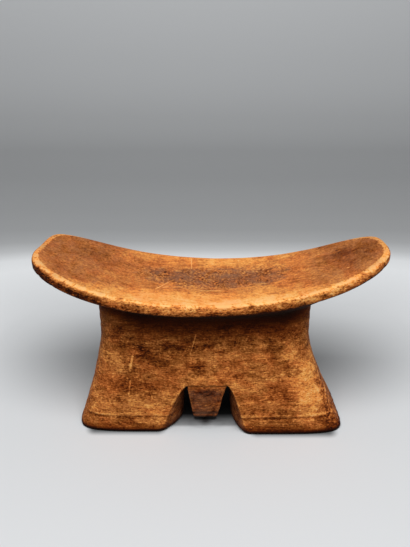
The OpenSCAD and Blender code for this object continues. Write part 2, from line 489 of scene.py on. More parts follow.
nick_total = 74
nick_highest = -0.1
nick_lowest = 1.05
nick_crowding = 0.6
nick_reaches = (1.1, 2.9)
nick_depths = (0.25, 0.75)
nick_lengthening = 1.8
nick_full_dirt = 0.6
nicked = np.zeros(len(points))
for angle, share, reach, cut in zip(
    hand.random(nick_total) * 2 * math.pi,
    between(nick_highest, nick_lowest, hand.random(nick_total) ** nick_crowding),
    hand.uniform(*nick_reaches, nick_total),
    hand.uniform(*nick_depths, nick_total),
):
    away = points - np.array(rim_place(angle, share))
    distance = np.sqrt(away[:, 0] ** 2 / nick_lengthening + away[:, 1] ** 2 + away[:, 2] ** 2) / reach
    bowl = np.clip(1 - distance**2, 0, 1) ** 2
    depth += cut * bowl
    nicked = np.maximum(nicked, bowl * cut / nick_full_dirt)

# The marks sink into a skin that stands proud of the form. The left foot's front is hewn further back.
proud = 0.35
hewn_back = 3.2
hewn_top = 60
hewn_from = 4
hewn_full = 28
hewn_left_of = left_notch + 4
hewn_blend = 18
depth -= proud * (1 - on_dish)
sunk = outward * (depth * off_ground)[:, None]
left_front = smooth(hewn_from, hewn_full, -y) * (1 - smooth(hewn_left_of - hewn_blend, hewn_left_of, x))
points = points - sunk
points[:, 1] += hewn_back * left_front * np.clip(1 - z / hewn_top, 0, 1)
points = np.clip(points, low_corner, high_corner)


# The patina and the painted light. Hands, hair, smoke and dirt have changed the bare wood in places that
# follow its form, and some masks paint shade or highlights where the light falls. Each mask says how far,
# from 0 to 1 or a little over, at every point of the carving, and the materials read it there.
def bend_of(form, places, reach):
    """How the surface bends within a reach: above 0 it falls away, as on an edge, below 0 it closes in."""
    total = np.zeros(len(places))
    for axis in range(3):
        step = np.zeros(3)
        step[axis] = reach
        total += form(*(places + step).T) + form(*(places - step).T)
    return total / (6 * reach) - form(*places.T) / reach


bend = bend_of(headrest_form, points + sunk, reach=2.5)
ends = np.abs(x / half_length)

# The face of the plate: rubbed bare down to one depth and dark from another, both taken along the length.
face_front = 8
face_places = (-112, -80, -60, -25, 10, 30, 65, 112)
face_clean_to = (0.3, 0.4, 1.2, 3.0, 2.4, 1.2, 3.0, 2.0)
face_dark_from = (3.2, 4.2, 7.6, 8.0, 6.8, 6.6, 8.0, 6.4)
back_clean_to = 0.6
back_dark_from = 4.0
clean_to = np.where(y < face_front, np.interp(x, face_places, face_clean_to), back_clean_to)
dark_from = np.where(y < face_front, np.interp(x, face_places, face_dark_from), back_dark_from)

rub_width = 2.2
rub_width_tips = 4.6
rub_back_share = 0.35
rub_tip_fade = (0.72, 0.92)
rub_fade = (0.55, 1.5)
rub_low_fade = (-1, 1.6)
rub_under_fade = (-0.8, -0.3)
band = between(rub_width, rub_width_tips, ends**2)
band *= np.where(y < 0, 1, between(rub_back_share, 1, smooth(*rub_tip_fade, ends)))
rubbed = (1 - smooth(*rub_fade, inset / band)) * (1 - smooth(*rub_low_fade, drop - dark_from))
rubbed *= smooth(*rub_under_fade, facing_up) * on_plate

# A thin lighter line along the upper edge of the rim: partly rubbed wear, partly a painted highlight.
crest_drop = 0.6
crest_back_share = 0.3
crest_width_fade = (0.3, 1.3)
crest_inset_fade = (1.0, 2.6)
crest_front_fade = (10, 30)
crest = on_plate * (1 - smooth(*crest_width_fade, np.abs(drop - crest_drop)))
crest *= 1 - smooth(*crest_inset_fade, inset)
crest *= between(crest_back_share, 1, smooth(*crest_front_fade, -y))

# The walls of the notches, which grow darker from the front mouth inwards, and those of the tongue. Their
# darkening is painted shade, and they take a grey cast of grease.
left_mouth_reach = left_notch - 20
right_mouth_reach = right_notch + 16
mouth_fade = (-3, 0)
wall_fade = (0.5, 0.8)
deeper_fade = (-29, -12)
mouth_inside = 0.75
deep_inside = 1.3
tongue_inside = 1.25
tongue_root_fade = (0, 6)
in_notches = smooth(*mouth_fade, x - left_mouth_reach) * smooth(*mouth_fade, right_mouth_reach - x)
notch_shade_and_grease = in_notches * (1 - smooth(*wall_fade, np.abs(outward[:, 1])))
notch_shade_and_grease *= between(mouth_inside, deep_inside, smooth(*deeper_fade, y))
tongue_shade_and_grease = tongue_inside * smooth(*tongue_root_fade, notch_height - z)

# Painted shade where little light and no hand reaches: under the plate, where smoke darkens the wood too,
# close to the ground, and under the tongue.
painted_shade_fade = (71, 93)
painted_shade_side_fade = (45, 75)
overhang_fade = (2, 7)
rubbed_fade = (0.0, 0.15)
tongue_end_fade = (0.9, 2.1)
painted_shade_rise_left = 9
painted_shade_rise_right = 13
ground_heights = (1.7, 2.7, 3.9, 5.6, 8.5)
ground_light = (0.0, 0.12, 0.45, 0.76, 1.0)
rise = painted_shade_rise_left * smooth(*painted_shade_side_fade, -x)
rise += painted_shade_rise_right * smooth(*painted_shade_side_fade, x)
under_plate = smooth(*painted_shade_fade, z - rise) * (1 - on_dish) * smooth(*overhang_fade, inset)
under_plate *= 1 - smooth(*rubbed_fade, rubbed)
near_ground = 1 - np.interp(z, ground_heights, ground_light)
under_tongue = on_tongue * (1 - smooth(*tongue_end_fade, z - tongue_end)) * below_plane

# The ends of the block, where the fibres were cut across and have crumbled, most at the right foot.
end_corner = 84
end_lean = 0.27
end_share = 0.35
end_corner_fade = (-1.0, 1.0)
foot_end_fade = (38, 46)
block_end_fade = (50, 66)
end_cut = smooth(*end_corner_fade, x - end_corner + end_lean * z) * (y < 0)
end_cut *= 1 - smooth(*foot_end_fade, z)
end_cut = np.maximum(end_cut, end_share * end_grain * (1 - smooth(*block_end_fade, z))) * on_wall

lip_rise = 1.4
notch_edge_gain = 1.5
plate_edge_share = 0.3
tongue_score_gain = 2.4
dish_edge_fade = (1.5, 3)
edge_bends = (0.06, 0.3)
hollow_bends = (0.04, 0.25)
low_face_fade = (4, 9)
polish_and_sheen_front_fade = (0, 20)
polish_and_sheen_band_fade = (3, 17)
layers_fade = (13, 27)
# Edges are lighter, most along the notches: partly worn, partly a painted highlight.
worn_and_highlit_edges = between(1, notch_edge_gain, in_notches * below_plane)
worn_and_highlit_edges *= np.where(on_plate > 0.5, plate_edge_share, 1)
masks = {
    "dish": on_dish * (1 - smooth(*dish_edge_fade, drop)),
    "rim": rubbed,
    "edge": smooth(*edge_bends, bend) * worn_and_highlit_edges,
    "hollow": smooth(*hollow_bends, -bend),
    "nick": np.clip(nicked, 0, 1),
    "score": scored * np.where(on_tongue, tongue_score_gain, 1),
    "low_face": on_plate * smooth(clean_to, dark_from, drop) * (1 - smooth(*low_face_fade, inset)),
    "polish_and_sheen": on_dish * smooth(*polish_and_sheen_front_fade, -y) * (1 - smooth(*polish_and_sheen_band_fade, inset)),
    "crest": crest,
    "inside": below_plane * np.where(on_tongue, tongue_shade_and_grease, notch_shade_and_grease),
    "layers": facing_front * (1 - smooth(*layers_fade, z)),
    "end_cut": end_cut,
    "lip": facing_front * ~on_tongue * ridge(z - step_z - lip_rise, score_width) * below_plane,
    "painted_shade_and_smoke": np.maximum(np.maximum(under_plate, near_ground), under_tongue),
}


# The five members. The carving is divided on the level planes where its members meet: the plate on its neck,
# the pedestal, a foot to either side and the tongue between them. Each is closed with flat faces of its own.
def point_normals(places, faces):
    a, b, c, d = [places[faces[:, k]] for k in range(4)]
    across = np.cross(c - a, d - b)
    total = np.zeros_like(places)
    for k in range(4):
        for axis in range(3):
            total[:, axis] += np.bincount(faces[:, k], across[:, axis], len(places))
    return unit(total)


carving = bpy.data.meshes.new("carving")
carving.from_pydata(points * mm, [], quads)
for label, values in masks.items():
    carving.attributes.new(label, "FLOAT", "POINT").data.foreach_set("value", values)
flow = carving.attributes.new("flow", "FLOAT_VECTOR", "POINT")
flow.data.foreach_set("vector", point_normals(points, quads).ravel())


def cut_from_carving(name, low_z, high_z, low_x, high_x):
    """The carving between two levels and two sides, closed with a flat face where a level cuts it."""
    form = bmesh.new()
    form.from_mesh(carving)
    for level, way in ((low_z, -1), (high_z, 1)):
        if not low_corner[2] < level < high_corner[2]:
            continue
        geometry = form.verts[:] + form.edges[:] + form.faces[:]
        sliced = bmesh.ops.bisect_plane(
            form, geom=geometry, plane_co=(0, 0, level * mm), plane_no=(0, 0, way), clear_outer=True
        )
        rims = [part for part in sliced["geom_cut"] if isinstance(part, bmesh.types.BMEdge)]
        bmesh.ops.triangle_fill(form, use_beauty=True, edges=rims, normal=(0, 0, way))
    beside = [v for v in form.verts if not low_x * mm < v.co.x < high_x * mm]
    bmesh.ops.delete(form, geom=beside, context="VERTS")
    mesh = bpy.data.meshes.new(name)
    form.to_mesh(mesh)
    form.free()
    return mesh


def shade_as_carving(mesh, low_z, high_z):
    """Shades a mesh by the normals of the whole carving, and flat where a level cut it above the ground."""
    tolerance = 1e-4
    mesh.shade_smooth()
    normals = np.zeros(3 * len(mesh.vertices))
    mesh.attributes["flow"].data.foreach_get("vector", normals)
    normals = unit(normals.reshape(-1, 3))
    loops = np.zeros(len(mesh.loops), int)
    mesh.loops.foreach_get("vertex_index", loops)
    corners = normals[loops]
    for face in mesh.polygons:
        off_plane = min(abs(face.center.z / mm - level) for level in (low_z, high_z))
        if off_plane < tolerance and abs(face.normal.z) > 0.999 and face.center.z > mm:
            corners[face.loop_start : face.loop_start + face.loop_total] = face.normal
    mesh.normals_split_custom_set(corners)
    mesh.attributes.remove(mesh.attributes["flow"])


def member(node, low_z, high_z, low_x=-math.inf, high_x=math.inf):
    """One member of the carving, which stands for its CAD node."""
    mesh = cut_from_carving(node, low_z, high_z, low_x, high_x)
    shade_as_carving(mesh, low_z, high_z)
    piece = bpy.data.objects.new(f"carved_{node}", mesh)
    bpy.context.scene.collection.objects.link(piece)
    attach(piece, "root")
    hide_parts(node)
    return piece


ground = low_corner[2]
top = high_corner[2]
cradle = member("cradle", joint_height, top)
pedestal = member("pedestal", notch_height, joint_height)
left_foot = member("left_foot", ground, notch_height, high_x=left_notch)
centre_tongue = member("centre_tongue", ground, notch_height, left_notch, right_notch)
right_foot = member("right_foot", ground, notch_height, low_x=right_notch)
bpy.data.meshes.remove(carving)


# The wood. One dense timber with its grain along the length, darkened by age and smoke, polished to honey on
# the dish by hair and hands, rubbed to bare tan along the rim, and grimed in every pit, score and hollow. Its
# colour also carries painted shade under the plate, near the ground, under the tongue and in the notches, and
# painted highlights and sheen on the edges, the rim's crest and the front of the dish.
def feed(tree, socket, value):
    """Links a socket to a node's output, or sets the value on it."""
    if isinstance(value, bpy.types.NodeSocket):
        tree.links.new(value, socket)
    else:
        socket.default_value = value


def put(tree, kind, sockets, **settings):
    """Adds a node: settings are its own properties, and sockets are its inputs by name."""
    node = tree.nodes.new(kind)
    for name, value in settings.items():
        setattr(node, name, value)
    for name, value in sockets.items():
        feed(tree, node.inputs[name], value)
    return node


def calc(tree, operation, *values):
    node = put(tree, "ShaderNodeMath", {}, operation=operation)
    for socket, value in zip(node.inputs, values):
        feed(tree, socket, value)
    return node.outputs[0]


def shift(tree, operation, *values):
    """A sum on vectors: gives a vector, or a number for a length, a distance or a dot product."""
    node = put(tree, "ShaderNodeVectorMath", {}, operation=operation)
    for socket, value in zip(node.inputs, values):
        feed(tree, socket, value)
    one_number = operation in ("LENGTH", "DISTANCE", "DOT_PRODUCT")
    return node.outputs["Value" if one_number else "Vector"]


def swing(tree, value, low, high, low_out=0.0, high_out=1.0):
    """Swings evenly from one output to the other while the value goes from low to high."""
    sockets = {"Value": value, "From Min": low, "From Max": high, "To Min": low_out, "To Max": high_out}
    return put(tree, "ShaderNodeMapRange", sockets, interpolation_type="SMOOTHSTEP").outputs["Result"]


def cloud(tree, place, detail, roughness=0.55, distortion=0.0):
    sockets = dict(Vector=place, Scale=1.0, Detail=detail, Roughness=roughness, Distortion=distortion)
    return put(tree, "ShaderNodeTexNoise", sockets).outputs["Fac"]


def paint(tree, under, over, share, way="MIX"):
    node = put(tree, "ShaderNodeMix", {}, data_type="RGBA", blend_type=way)
    for number, value in ((0, share), (6, under), (7, over)):
        feed(tree, node.inputs[number], value)
    return node.outputs[2]


def new_effect(name, takes, gives):
    """A node group with named inputs and outputs: returns its tree, its inputs by name, and its last node."""
    tree = bpy.data.node_groups.new(name, "ShaderNodeTree")
    for way, sockets in (("INPUT", takes), ("OUTPUT", gives)):
        for label, kind in sockets.items():
            tree.interface.new_socket(label, in_out=way, socket_type=f"NodeSocket{kind}")
    return tree, tree.nodes.new("NodeGroupInput").outputs, tree.nodes.new("NodeGroupOutput")


def placed(tree, effect, **sockets):
    """Places a node group in a material, and gives its outputs by name."""
    node = tree.nodes.new("ShaderNodeGroup")
    node.node_tree = effect
    for name, value in sockets.items():
        feed(tree, node.inputs[name], value)
    return node.outputs


# Grain runs along x: broad streaks, fine fibres, and short dark pores, all wandering a little to the sides.
streak_scale = (0.02, 0.45, 0.45)
fibre_scale = (0.1, 1.3, 1.3)
pore_scale = (0.3, 0.7, 0.7)
wander_scale = (0.02, 0.04, 0.04)
wander_reach = (0.0, 14.0, 14.0)
takes = {"Place": "Vector"}
gives = {"Streak": "Float", "Fibre": "Float", "Pore": "Float"}
grain_effect, given, made = new_effect("Grain", takes, gives)
slow = shift(grain_effect, "MULTIPLY", given["Place"], wander_scale)
wander = put(grain_effect, "ShaderNodeTexNoise", {"Vector": slow, "Scale": 1.0, "Detail": 1.0})
sway = shift(grain_effect, "SUBTRACT", wander.outputs["Color"], (0.5, 0.5, 0.5))
sway = shift(grain_effect, "MULTIPLY", sway, wander_reach)
along = shift(grain_effect, "ADD", given["Place"], sway)
streak = cloud(grain_effect, shift(grain_effect, "MULTIPLY", along, streak_scale), 4.0, 0.65)
fibre = cloud(grain_effect, shift(grain_effect, "MULTIPLY", along, fibre_scale), 3.0, 0.6)
pore_place = shift(grain_effect, "MULTIPLY", along, pore_scale)
pore = put(grain_effect, "ShaderNodeTexVoronoi", {"Vector": pore_place, "Scale": 1.0})
lot = put(grain_effect, "ShaderNodeSeparateColor", {"Color": pore.outputs["Color"]}).outputs["Red"]
dug = swing(grain_effect, pore.outputs["Distance"], 0.42, 0.1)
dug = calc(grain_effect, "MULTIPLY", dug, swing(grain_effect, lot, 0.5, 0.65))
feed(grain_effect, made.inputs["Streak"], calc(grain_effect, "SUBTRACT", streak, 0.5))
feed(grain_effect, made.inputs["Fibre"], calc(grain_effect, "SUBTRACT", fibre, 0.5))
feed(grain_effect, made.inputs["Pore"], dug)

# Mottle is uneven colour of a given size, as light as it is dark.
takes = {"Place": "Vector", "Size": "Vector", "Detail": "Float"}
mottle_effect, given, made = new_effect("Mottle", takes, {"Shade": "Float"})
scaled = shift(mottle_effect, "DIVIDE", given["Place"], given["Size"])
uneven = cloud(mottle_effect, scaled, given["Detail"], 0.62, 0.3)
feed(mottle_effect, made.inputs["Shade"], calc(mottle_effect, "SUBTRACT", uneven, 0.5))

# Smudge is a stain with a frayed edge.
fray_scale = (0.09, 0.22, 0.16)
takes = {"Place": "Vector", "Centre": "Vector", "Reach": "Vector", "Ragged": "Float"}
smudge_effect, given, made = new_effect("Smudge", takes, {"Mask": "Float"})
from_centre = shift(smudge_effect, "SUBTRACT", given["Place"], given["Centre"])
from_centre = shift(smudge_effect, "LENGTH", shift(smudge_effect, "DIVIDE", from_centre, given["Reach"]))
frayed = cloud(smudge_effect, shift(smudge_effect, "MULTIPLY", given["Place"], fray_scale), 5.0, 0.65)
fray = calc(smudge_effect, "MULTIPLY", calc(smudge_effect, "SUBTRACT", frayed, 0.5), given["Ragged"])
stain_edge = calc(smudge_effect, "ADD", from_centre, fray)
feed(smudge_effect, made.inputs["Mask"], swing(smudge_effect, stain_edge, 1.25, 0.55))

# Scratch is a straight thin line from one place along a way, which skips here and there.
takes = {"Place": "Vector", "From": "Vector", "Along": "Vector", "Width": "Float"}
scratch_effect, given, made = new_effect("Scratch", takes, {"Mask": "Float"})
reach = shift(scratch_effect, "SUBTRACT", given["Place"], given["From"])
share = shift(scratch_effect, "DOT_PRODUCT", reach, given["Along"])
whole = shift(scratch_effect, "DOT_PRODUCT", given["Along"], given["Along"])
share = calc(scratch_effect, "DIVIDE", share, whole)
share = put(scratch_effect, "ShaderNodeClamp", {"Value": share}).outputs["Result"]
nearest = put(scratch_effect, "ShaderNodeVectorMath", {"Scale": share}, operation="SCALE")
feed(scratch_effect, nearest.inputs[0], given["Along"])
off_line = shift(scratch_effect, "DISTANCE", reach, nearest.outputs["Vector"])
off_line = calc(scratch_effect, "DIVIDE", off_line, given["Width"])
skips = calc(scratch_effect, "SUBTRACT", cloud(scratch_effect, given["Place"], 2.0), 0.45)
skips = calc(scratch_effect, "MULTIPLY", skips, 1.6)
off_line = calc(scratch_effect, "ADD", off_line, skips)
feed(scratch_effect, made.inputs["Mask"], swing(scratch_effect, off_line, 1.2, 0.5))


def seen(red, green, blue):
    """A colour given as it is seen, 0 to 255, for a shader."""
    shares = [channel / 255 for channel in (red, green, blue)]
    return (*[s / 12.92 if s < 0.04 else ((s + 0.055) / 1.055) ** 2.4 for s in shares], 1)


wood_tones = (
    (0.0, seen(16, 3, 1)),
    (0.15, seen(68, 24, 4)),
    (0.3, seen(114, 55, 14)),
    (0.45, seen(153, 87, 34)),
    (0.62, seen(198, 120, 61)),
    (0.8, seen(244, 163, 79)),
    (0.9, seen(250, 182, 100)),
    (1.0, seen(252, 194, 124)),
)
blush = (1.0, 0.84, 0.78, 1)
hair_grease = seen(136, 92, 68)
warm_shine = (1, 0.7, 0.5, 1)
body_tone = 0.53
dish_tone = 0.65
dish_tone_fall = 0.13
rim_tone = 0.7
rim_tone_rise = 0.11
darkest_tone = 0.04
rub_raggedness = (0.8, 0.5)
rub_edge = (0.25, 0.6)
rub_limit = (0.02, 0.2)
ends_raggedness = 60.0
ends_edge = (40.0, 104.0)
grease_at_ends = 0.4
grease_in_notches = 0.45
grease_cover = 0.42
grease_mottling = 3.0
stain_redness = 1.3
cut_end_redness = 0.8
scratch_lift = 0.34
dirt_and_painted_shade = {"nick": 0.22, "score": 0.2, "hollow": 0.12, "low_face": 0.38, "inside": 0.2}
dark_roughness = 0.74
roughness_fall = 0.26
lots_apart = 300.0


def wood(name, layer_pitch, smudges, scratches, grease=(), reddened=(), lies_on=None):
    """The wood of one group of members. Its smudges lie only on one masked part where lies_on names it."""
    material = bpy.data.materials.new(name)
    material.use_nodes = True
    tree = material.node_tree
    surface = tree.nodes["Principled BSDF"]
    here = put(tree, "ShaderNodeTexCoord", {}).outputs["Object"]
    place = shift(tree, "DIVIDE", here, (mm, mm, mm))
    readers = {label: put(tree, "ShaderNodeAttribute", {}, attribute_name=label) for label in masks}
    mask = {label: reader.outputs["Fac"] for label, reader in readers.items()}
    fine = shift(tree, "MULTIPLY", place, layer_pitch)
    grain = placed(tree, grain_effect, Place=fine)

    def mottle(size, detail, lot=0):
        """Mottling of one size in millimetres. Each lot is taken from another place, so that no two match."""
        moved = shift(tree, "ADD", fine, (lot * lots_apart,) * 3)
        return placed(tree, mottle_effect, Place=moved, Size=size, Detail=detail)["Shade"]

    def smudge(centre, size, ragged):
        return placed(tree, smudge_effect, Place=place, Centre=centre, Reach=size, Ragged=ragged)["Mask"]

    def scratch(width, start, end):
        way = tuple(b - a for a, b in zip(start, end))
        return placed(tree, scratch_effect, Place=place, From=start, Along=way, Width=width)["Mask"]

    def both(a, b):
        return calc(tree, "MULTIPLY", a, b)

    def plus(a, b):
        return calc(tree, "ADD", a, b)

    def most(a, b):
        return calc(tree, "MAXIMUM", a, b)

    def less(a, b):
        return calc(tree, "SUBTRACT", a, b)

    def without(value):
        return less(1.0, value)

    def mixed(a, b, share):
        return plus(a, both(less(b, a), share))

    broad = mottle((24, 17, 14), 3.0)
    patch = mottle((8, 6, 5), 5.0, 1)
    speck = mottle((1.6, 1.2, 1.1), 2.0, 2)

    # The rim is rubbed bare with a ragged edge. Towards both ends the dish is darker and the rim paler.
    ragged = [both(shade, share) for shade, share in zip((patch, speck), rub_raggedness)]
    rub = swing(tree, plus(mask["rim"], plus(*ragged)), *rub_edge)
    rub = both(rub, swing(tree, mask["rim"], *rub_limit))
    x_out = calc(tree, "ABSOLUTE", put(tree, "ShaderNodeSeparateXYZ", {"Vector": place}).outputs["X"])
    to_ends = swing(tree, plus(x_out, both(patch, ends_raggedness)), *ends_edge)
    tone = mixed(body_tone, less(dish_tone, both(to_ends, dish_tone_fall)), mask["dish"])
    tone = mixed(tone, plus(rim_tone, both(to_ends, rim_tone_rise)), rub)

    # Hair grease lies on the dish, most in its own smears and some towards the ends, and inside the notches.
    smeared = 0.0
    for smear in grease:
        smeared = most(smeared, both(smudge(*smear), mask["dish"]))
    greasy = most(smeared, both(both(to_ends, grease_at_ends), mask["dish"]))
    greasy = most(greasy, both(mask["inside"], grease_in_notches))

    # What lightens the wood, or darkens it where the strength is below 0: what it is, how strong, and where.
    off_dish = without(mask["dish"])
    off_rub = without(rub)
    rough = plus(0.6, both(off_dish, 0.4))
    flecks = swing(tree, mottle((2.6, 1.2, 1.0), 1.0, 13), 0.14, 0.2)
    pits = swing(tree, mottle((1.8, 1.1, 1.1), 1.0, 15), -0.15, -0.21)
    light_lines = swing(tree, mottle((7.0, 0.8, 0.8), 2.0, 3), 0.1, 0.17)
    strokes = swing(tree, mottle((0.8, 4.0, 7.0), 2.0, 5), 0.1, 0.18)
    dark_lines = swing(tree, mottle((10.0, 0.7, 0.7), 2.0, 7), -0.11, -0.18)
    crumbled = mottle((2.6, 2.6, 2.2), 3.0, 11)
    # The front band of the dish is lighter: partly polish, partly painted sheen.
    shades = [(mask["polish_and_sheen"], 0.1, 1.0)]
    for lift, *stain in smudges:
        shades.append((both(smudge(*stain), mask[lies_on] if lies_on else 1.0), lift, off_rub))
    shades += [
        (broad, 0.6, rough),
        (patch, 0.72, plus(rough, both(rub, 0.4))),
        (speck, 0.74, plus(plus(rough, both(smeared, 1.5)), both(rub, 0.5))),
        (grain["Streak"], 0.4, 1.0),
        (grain["Fibre"], 0.42, 1.0),
        (mottle((16.0, 3.0, 1.1), 2.0, 9), 0.5, mask["layers"]),
        (less(both(crumbled, 1.5), 0.05), 1.0, mask["end_cut"]),
        (plus(0.2, both(grain["Streak"], 0.7)), 1.0, mask["lip"]),
        (flecks, 1.0, plus(both(off_dish, 0.2), both(smeared, 0.14))),
        (pits, -1.0, plus(both(rough, 0.2), both(rub, 0.16))),
        (light_lines, 0.13, rough),
        (strokes, 0.12, both(off_dish, off_rub)),
        (dark_lines, -0.16, rough),
        (grain["Pore"], -1.0, plus(0.1, both(rub, 0.14))),
        # Painted highlight as well as wear along the crest.
        (plus(0.1, both(patch, 0.8)), 1.0, mask["crest"]),
        # Painted highlight as well as wear on the edges.
        (mask["edge"], 0.14, without(mask["nick"])),
    ]
    shades += [(scratch(*line), scratch_lift, 1.0) for line in scratches]
    # Dirt in nicks, scores and hollows, the dark lower face of the rim, and painted shade inside the notches
    # and on the tongue.
    shades += [(mask[label], -strength, 1.0) for label, strength in dirt_and_painted_shade.items()]
    for shade, strength, where in shades:
        tone = plus(tone, both(both(shade, strength), where))
    # Painted shade, with some smoke, takes the wood towards black under the plate, near the ground and under
    # the tongue.
    tone = both(most(tone, darkest_tone), without(mask["painted_shade_and_smoke"]))

    ramp = put(tree, "ShaderNodeValToRGB", {"Fac": tone})
    ramp.color_ramp.elements[1].position = wood_tones[-1][0]
    for position, colour in wood_tones[1:-1]:
        ramp.color_ramp.elements.new(position)
    for element, (position, colour) in zip(ramp.color_ramp.elements, wood_tones):
        element.position = position
        element.color = colour

    # Patches of the wood are redder, above all in the stains that are named so and on the cut ends.
    blushing = swing(tree, mottle((11, 9, 8), 4.0, 4), -0.04, 0.14, 0.0, 0.7)
    blushing = plus(blushing, swing(tree, mottle((22, 16, 13), 3.0, 17), -0.03, 0.12, 0.0, 0.8))
    blushing = both(blushing, without(both(mask["polish_and_sheen"], 0.2)))
    for stain in reddened:
        blushing = most(blushing, both(smudge(*stain), stain_redness))
    blushing = most(blushing, both(mask["end_cut"], cut_end_redness))
    colour = paint(tree, ramp.outputs["Color"], blush, blushing, "MULTIPLY")
    colour = paint(tree, colour, hair_grease, both(greasy, plus(grease_cover, both(patch, grease_mottling))))
    feed(tree, surface.inputs["Base Color"], colour)

    dull = less(dark_roughness, both(calc(tree, "MINIMUM", tone, 1.0), roughness_fall))
    feed(tree, surface.inputs["Roughness"], plus(dull, both(speck, 0.4)))
    surface.inputs["Specular IOR Level"].default_value = 0.1
    surface.inputs["Specular Tint"].default_value = warm_shine

    relief = less(plus(both(grain["Fibre"], 0.14), both(speck, 0.5)), both(grain["Pore"], 0.12))
    relief = both(relief, without(both(mask["dish"], 0.65)))
    bump = put(tree, "ShaderNodeBump", {"Height": relief, "Strength": 1.0, "Distance": mm})
    feed(tree, surface.inputs["Normal"], bump.outputs["Normal"])
    return material


# Each smudge: how much it lightens, its middle and reach in millimetres, and how ragged its edge is. Grease
# and reddened stains have no lightening. Each scratch: its width and its two ends.
dish_smudges = (
    (0.1, (-2, 39, 106), (66, 13, 30), 1.0),
    # The next one lightens the front band of the dish: partly polish, partly painted sheen.
    (0.16, (-8, -38, 106), (80, 15, 30), 1.0),
    (0.02, (70, -32, 113), (28, 10, 30), 1.0),
    (-0.02, (-46, 6, 108), (20, 40, 30), 2.2),
    (0.03, (48, 6, 108), (20, 40, 30), 2.2),
    (-0.12, (2, 3, 106), (46, 18, 30), 1.8),
    (-0.08, (-24, 4, 106), (20, 12, 30), 2.4),
    (-0.08, (34, 2, 107), (24, 14, 30), 2.2),
    (-0.12, (84, 10, 118), (16, 8, 30), 2.0),
    (-0.08, (-80, 14, 117), (20, 14, 30), 2.0),
    (-0.1, (98, 2, 124), (14, 20, 30), 2.0),
)
dish_scratches = (
    (0.45, (-15.7, 42.4, 106.3), (-15.2, 22.2, 105.6)),
    (0.4, (20.6, 39.5, 106.5), (20.4, 35.6, 106.4)),
    (0.5, (-31.2, -7.8, 106.4), (-38.3, -21.2, 107.2)),
    (0.45, (-33.5, -17.5, 106.6), (-29.4, -13.2, 106.3)),
    (0.5, (-8.4, -19.4, 105.2), (4.8, -19.0, 105.2)),
    (0.4, (-3, 21, 105.3), (9, 23.5, 105.4)),
    (0.7, (27.2, -5.2, 106.1), (27.6, -5.0, 106.1)),
    (0.7, (89.9, -16.9, 120.9), (90.8, -16.9, 121.2)),
)
dish_grease = (
    ((2, 4, 106), (54, 20, 30), 1.6),
    ((-26, 6, 106), (26, 14, 30), 2.2),
)
body_smudges = (
    (0.16, (64, -29, 43), (12, 30, 23), 3.0),
    (0.06, (-70, -29, 52), (8, 30, 16), 2.8),
    (0.1, (0, -29, 42), (44, 30, 5), 2.0),
    (0.13, (68, -29, 22), (11, 30, 17), 2.6),
    (0.06, (-76, -29, 22), (14, 30, 20), 2.4),
    (0.05, (-52, -29, 22), (30, 30, 12), 2.4),
    (-0.1, (-44, -29, 46), (26, 30, 18), 2.2),
    (-0.07, (0, -29, 63), (62, 30, 9), 2.4),
    (-0.05, (44, -29, 24), (22, 30, 14), 2.2),
    (0.08, (10, -29, 60), (26, 30, 12), 2.6),
    (-0.14, (-9, -29, 51), (6, 30, 8), 2.6),
    (-0.2, (54, -29, 49), (7, 30, 5), 2.0),
    (-0.1, (41, -29, 66), (8, 30, 10), 2.4),
    (0.16, (53, -29, 62), (7, 30, 6), 3.2),
    (0.08, (34, -29, 57), (5, 30, 10), 3.0),
    (-0.12, (18, -29, 45), (4, 30, 2.5), 1.6),
    (-0.1, (7, -29, 42), (3, 30, 2), 1.6),
    (-0.04, (50, -29, 33), (10, 30, 8), 2.8),
    (-0.03, (-66, -29, 38), (9, 30, 6), 2.6),
    (-0.03, (-46, -29, 48), (28, 30, 14), 2.4),
    (-0.06, (-60, -29, 70), (16, 30, 14), 2.2),
    (-0.04, (-64, -29, 31), (11, 30, 7), 2.0),
    (-0.07, (-26, -29, 39), (8, 30, 7), 2.0),
    # The next one darkens the wall just under the plate: painted shade.
    (-0.16, (0, -29, 76), (66, 50, 12), 1.4),
    (-0.04, (0, -29, 10), (110, 60, 14), 1.0),
    (-0.06, (58, -29, 8), (34, 30, 11), 1.6),
    (0.03, (-60, -29, 6), (34, 30, 9), 1.6),
)
body_reddened = (
    ((52, -29, 33), (14, 30, 11), 2.8),
    ((-70, -29, 38), (11, 30, 8), 2.6),
    ((10, -29, 46), (12, 30, 5), 2.4),
    ((0, -29, 82), (70, 30, 7), 1.6),
)
body_scratches = (
    (0.45, (-11.3, -29, 77), (-18.9, -29, 49)),
    (0.5, (-44.5, -31, 38.4), (-42.3, -31.5, 27.7)),
    (1.0, (-54.5, -29.5, 63), (-57.3, -29.5, 49.5)),
    (0.8, (-57.3, -30, 41.5), (-58.7, -31, 31)),
)
flat_sawn = (1, 0.5, 1)
edge_sawn = (1, 1, 1)
dish_wood = wood("dish wood", flat_sawn, dish_smudges, dish_scratches, dish_grease, lies_on="dish")
body_wood = wood("body wood", edge_sawn, body_smudges, body_scratches, reddened=body_reddened)
for piece in (cradle, pedestal, left_foot, right_foot, centre_tongue):
    piece.data.materials.append(dish_wood if piece == cradle else body_wood)


# The studio. A grey paper sweep that rises to a wall all round, with painted light in a pale band close
# behind the headrest and painted shade where the feet stand and behind the block, with a large soft light
# high above and a little in front, and a camera that looks down on the dish as the photograph does.
sweep_steps = 72
sweep_squareness = 6
